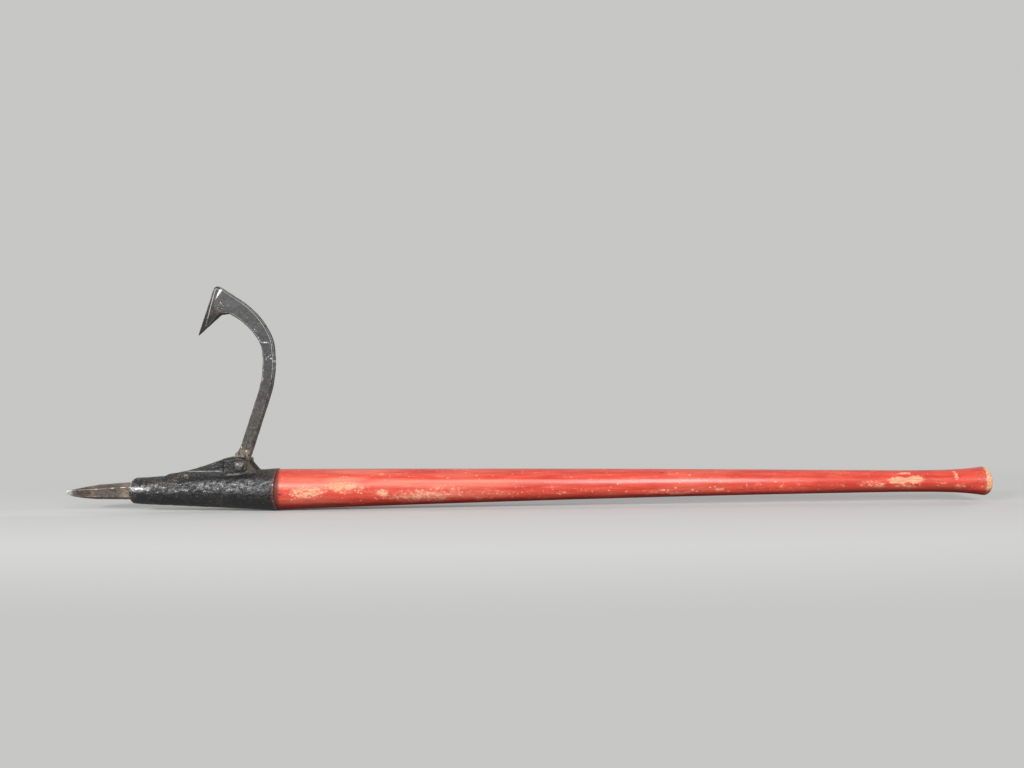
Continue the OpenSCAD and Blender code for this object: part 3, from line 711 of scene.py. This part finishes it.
def turned_handle():
    """The handle's round body, tenon and flared knob, as rings whose radius follows the turner's rule."""
    sizes = {
        "Tenon Length": 198 * MM, "Tenon Radius": 25.5 * MM, "Tenon End Radius": 13.5 * MM,
        "Body Length": BUTT_X - MOUTH_X, "Swell Radius": 29 * MM, "Grip Radius": 15.5 * MM,
        "Grip Back": 124 * MM, "Taper Bow": 1.12, "Knob Radius": 20.5 * MM, "Flare Power": 3.8,
        "Knob Round": 6 * MM, "Butt Radius": 13 * MM, "Lift": 2.4 * MM, "Axis Height": AXIS_Z,
        "Mouth": MOUTH_X,
    }
    inputs = {name: ("NodeSocketFloat", size) for name, size in sizes.items()}
    inputs["Rings"] = ("NodeSocketInt", 460)
    inputs["Sides"] = ("NodeSocketInt", 97)
    inputs["Material"] = ("NodeSocketMaterial", None)
    group, tree, given = new_geometry_tree("turned_handle", inputs)

    sheet = tree.node("GeometryNodeMeshGrid", {}, {
        "Size X": 1.0, "Size Y": 1.0, "Vertices X": given["Rings"], "Vertices Y": given["Sides"],
    })
    u, v, _ = tree.parts(tree.node("GeometryNodeInputPosition"))
    share = u + 0.5
    end_face, tenon, shoulder, body, rounding, butt = [
        share.ramp(low, high) for low, high in
        ((0.0, 0.01), (0.01, 0.05), (0.05, 0.06), (0.06, 0.955), (0.955, 0.985), (0.985, 1.0))
    ]
    grip_at = given["Body Length"] - given["Grip Back"]
    along = body * (given["Body Length"] - given["Knob Round"])
    taper = (1.0 - tree.smaller(along / grip_at, 1.0)) ** given["Taper Bow"]
    flare = tree.larger((along - grip_at) / (given["Grip Back"] - given["Knob Round"]), 0.0)
    flare = flare ** given["Flare Power"]
    turn = rounding * (math.pi / 2)
    radius = (
        given["Tenon End Radius"] * end_face
        + (given["Tenon Radius"] - given["Tenon End Radius"]) * tenon
        + (given["Swell Radius"] - given["Tenon Radius"]) * shoulder
        + (given["Grip Radius"] - given["Swell Radius"]) * (1.0 - taper)
        + (given["Knob Radius"] - given["Grip Radius"]) * flare
        + (given["Butt Radius"] - given["Knob Radius"]) * (1.0 - tree.maths("COSINE", turn))
        - given["Butt Radius"] * butt
    )
    ahead = (
        given["Tenon Length"] * (tenon - 1.0) + along + given["Knob Round"] * tree.maths("SINE", turn)
    )
    lifted = tree.maths("SINE", tree.larger(ahead / given["Body Length"], 0.0) * math.pi) * given["Lift"]
    angle = (v + 0.5) * (2 * math.pi)
    round_y = tree.maths("SINE", angle) * radius
    round_z = tree.maths("COSINE", angle) * radius + given["Axis Height"] + lifted
    wrapped = tree.node("GeometryNodeSetPosition", {}, {
        "Geometry": sheet, "Position": tree.joined(ahead + given["Mouth"], round_y, round_z),
    })
    closed = tree.node("GeometryNodeMergeByDistance", {}, {"Geometry": wrapped, "Distance": SEAM_GAP})
    smooth = tree.node("GeometryNodeSetShadeSmooth", {}, {0: closed})
    finish_tree(tree, smooth, given["Material"])
    return group


# Pieces

def as_mesh(piece):
    """Turns a piece with its modifiers into a plain mesh."""
    view = bpy.context.evaluated_depsgraph_get()
    mesh = bpy.data.meshes.new_from_object(piece.evaluated_get(view))
    piece.modifiers.clear()
    old = piece.data
    piece.data = mesh
    bpy.data.meshes.remove(old)


def run_tree(piece, group, values):
    modifier = piece.modifiers.new(group.name, "NODES")
    modifier.node_group = group
    for socket in group.interface.items_tree:
        if socket.item_type == "SOCKET" and socket.in_out == "INPUT" and socket.name in values:
            modifier[socket.identifier] = values[socket.name]


def new_piece(name, mesh):
    piece = bpy.data.objects.new(name, mesh)
    bpy.context.scene.collection.objects.link(piece)
    return piece


def welded_copy(node):
    mesh = frame["nodes"][node].data.copy()
    mesh.materials.clear()
    work = bmesh.new()
    work.from_mesh(mesh)
    bmesh.ops.remove_doubles(work, verts=work.verts, dist=WELD_GAP)
    work.to_mesh(mesh)
    work.free()
    return mesh


def skin_of(lump_size, lump_depth, grain_size, grain_depth, seed=0.0, **others):
    """The skin's inputs: the sizes and depths of its lumps and of its grain, in millimetres, and others."""
    return {
        "Lump Size": lump_size * MM, "Lump Depth": lump_depth * MM,
        "Grain Size": grain_size * MM, "Grain Depth": grain_depth * MM, "Seed": seed, **others,
    }


def dressed(name, node, body, material, voxel, passes, skin):
    """A finely meshed copy of a CAD node, in the node's place, with softened edges and a rough skin.

    The mesh is made of cells of voxel millimetres and smoothed in a number of passes.
    """
    piece = new_piece(name, welded_copy(node))
    remesh = piece.modifiers.new("remesh", "REMESH")
    remesh.mode = "VOXEL"
    remesh.voxel_size = voxel * MM
    remesh.use_smooth_shade = True
    soften = piece.modifiers.new("soften", "SMOOTH")
    soften.factor = 0.5
    soften.iterations = passes
    run_tree(piece, SKIN, {**skin, "Material": material})
    as_mesh(piece)
    placed(piece, node, body)


def placed(piece, node, body):
    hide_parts(node)
    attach(piece, body)


SKIN = weathered_skin()
PIKE_SAG = {"Sag": 1.8 * MM, "Sag Start": NOSE_X, "Sag Length": NOSE_X - TIP_X}
SMALL_REACH = {"Edge Reach": 4}

handle = new_piece("turned_handle", bpy.data.meshes.new("turned_handle"))
run_tree(handle, turned_handle(), {"Material": handle_paint()})
as_mesh(handle)
placed(handle, "handle", "lever")

dressed("socket_casting", "socket", "lever", socket_iron(), 1.05, 4, skin_of(9, 0.6, 3, 0.2))
dressed("hook_forging", "hook", "hook", hook_steel(), 0.7, 3, skin_of(9, 0.4, 2.5, 0.12, 3.0))
dressed("pike_forging", "pike", "lever", pike_steel(), 0.7, 3,
        skin_of(12, 0.4, 2.5, 0.10, 7.0, **PIKE_SAG))
bolt_finish = fastener_steel("worn_bolt_steel", (0.045, 0.043, 0.042), (0.17, 0.16, 0.15))
for label, node, seed in (("carriage_bolt", "hook_bolt", 11.0), ("square_nut", "bolt_nut", 13.0),
                          ("split_washer", "lock_washer", 17.0)):
    dressed(label, node, "lever", bolt_finish, 0.35, 3,
            skin_of(5, 0.25, 1.2, 0.05, seed, **SMALL_REACH))
nail_finish = fastener_steel("rusty_nail_steel", (0.06, 0.045, 0.035), (0.16, 0.11, 0.075))
dressed("clinched_nail", "handle_nail", "lever", nail_finish, 0.3, 2,
        skin_of(3, 0.15, 1, 0.05, 19.0, **SMALL_REACH))


# Floor, light and camera

BACKGROUND = (0.57, 0.57, 0.56)
FLOOR = (0.80, 0.80, 0.79)
FLOOR_BOUNCE = (0.13, 0.13, 0.13)
AMBIENT = 0.15
FLOOR_HALF = 12.0


def shown(tree):
    """1 for what the camera sees straight, in gloss or through something, and 0 for soft light."""
    path = tree.node("ShaderNodeLightPath").socket.node
    rays = ("Is Camera Ray", "Is Glossy Ray", "Is Transmission Ray")
    return tree.larger(*[Value(tree, path.outputs[ray]) for ray in rays])


def pale_floor():
    mesh = bpy.data.meshes.new("floor")
    corners = [(x * FLOOR_HALF, y * FLOOR_HALF, 0) for x, y in ((-1, -1), (1, -1), (1, 1), (-1, 1))]
    mesh.from_pydata(corners, [], [(0, 1, 2, 3)])
    floor = new_piece("floor", mesh)
    material, tree = new_material("pale_floor")
    place = object_place(tree)
    near_tool = tree.vector("MULTIPLY", place, (0.28, 1.0, 0.0))
    reach = tree.length(near_tool)
    pale = tree.node("ShaderNodeBsdfDiffuse", {}, {"Color": FLOOR})
    dim = tree.node("ShaderNodeBsdfDiffuse", {}, {"Color": FLOOR_BOUNCE})
    matt = tree.node("ShaderNodeMixShader", {}, {0: shown(tree), 1: dim, 2: pale})
    glow = tree.node("ShaderNodeEmission", {}, {"Color": BACKGROUND, "Strength": 1.0})
    beyond = abs(tree.parts(place)[1]).step(8 * MM, 40 * MM)
    share = tree.larger(reach.step(0.06, 0.55), beyond * 0.42) * shown(tree)
    blended = tree.node("ShaderNodeMixShader", {}, {0: share, 1: matt, 2: glow})
    tree.node("ShaderNodeOutputMaterial", {}, {"Surface": blended})
    mesh.materials.append(material)


def studio_world():
    world = bpy.data.worlds.new("studio")
    world.use_nodes = True
    world.node_tree.nodes.clear()
    tree = Tree(world.node_tree)
    strength = shown(tree) * (1.0 - AMBIENT) + AMBIENT
    glow = tree.node("ShaderNodeBackground", {}, {"Color": BACKGROUND, "Strength": strength})
    tree.node("ShaderNodeOutputWorld", {}, {"Surface": glow})
    bpy.context.scene.world = world


def soft_light(name, place, target, width, height, power):
    """An area light at a place, facing a target."""
    lamp = bpy.data.lights.new(name, "AREA")
    lamp.shape = "RECTANGLE"
    lamp.size = width
    lamp.size_y = height
    lamp.energy = power
    light = bpy.data.objects.new(name, lamp)
    bpy.context.scene.collection.objects.link(light)
    light.location = place
    light.rotation_euler = (Vector(target) - Vector(place)).to_track_quat("-Z", "Y").to_euler()


# Each light: its name, its place, what it faces, its width and height, and its power
LIGHTS = [
    ("key", (0.64, -1.76, 0.78), (0.1, 0.0, 0.05), 0.62, 0.90, 24),
    ("left_key", (-1.22, -1.62, 0.80), (-0.3, 0.0, 0.08), 0.55, 0.30, 22.5),
    ("front_fill", (-0.5, -1.75, 0.80), (-0.1, 0.0, 0.05), 2.4, 0.4, 11),
    ("right_low", (1.7, -1.35, 0.45), (0.2, 0.0, 0.05), 0.8, 0.5, 6),
    ("behind_left", (-2.4, 1.0, 0.65), (-0.1, 0.0, 0.05), 1.2, 1.1, 18),
    ("behind_right", (2.4, 1.0, 0.65), (0.1, 0.0, 0.05), 1.2, 1.1, 18),
    ("overhead", (0.0, 0.2, 2.2), (0.0, 0.2, 0.0), 3.2, 2.0, 4),
]

# The camera is level, at the measured place, and rolled so that the tool rises to the right
CAMERA_PLACE = (-18.6 * MM, -1109 * MM, AXIS_Z + 147.3 * MM)
CAMERA_ROLL = math.atan(0.0118)
CAMERA_LENS = 27.07
SENSOR_WIDTH = 36.0


def photo_camera():
    data = bpy.data.cameras.new("photo_camera")
    data.lens = CAMERA_LENS
    data.sensor_width = SENSOR_WIDTH
    camera = bpy.data.objects.new("photo_camera", data)
    bpy.context.scene.collection.objects.link(camera)
    right = Vector((math.cos(CAMERA_ROLL), 0, -math.sin(CAMERA_ROLL)))
    up = Vector((math.sin(CAMERA_ROLL), 0, math.cos(CAMERA_ROLL)))
    back = Vector((0, -1, 0))
    turn = Matrix((right, up, back)).transposed()
    camera.matrix_world = Matrix.Translation(CAMERA_PLACE) @ turn.to_4x4()
    bpy.context.scene.camera = camera


pale_floor()
studio_world()
for light in LIGHTS:
    soft_light(*light)
photo_camera()

scene = bpy.context.scene
scene.view_settings.view_transform = "Standard"
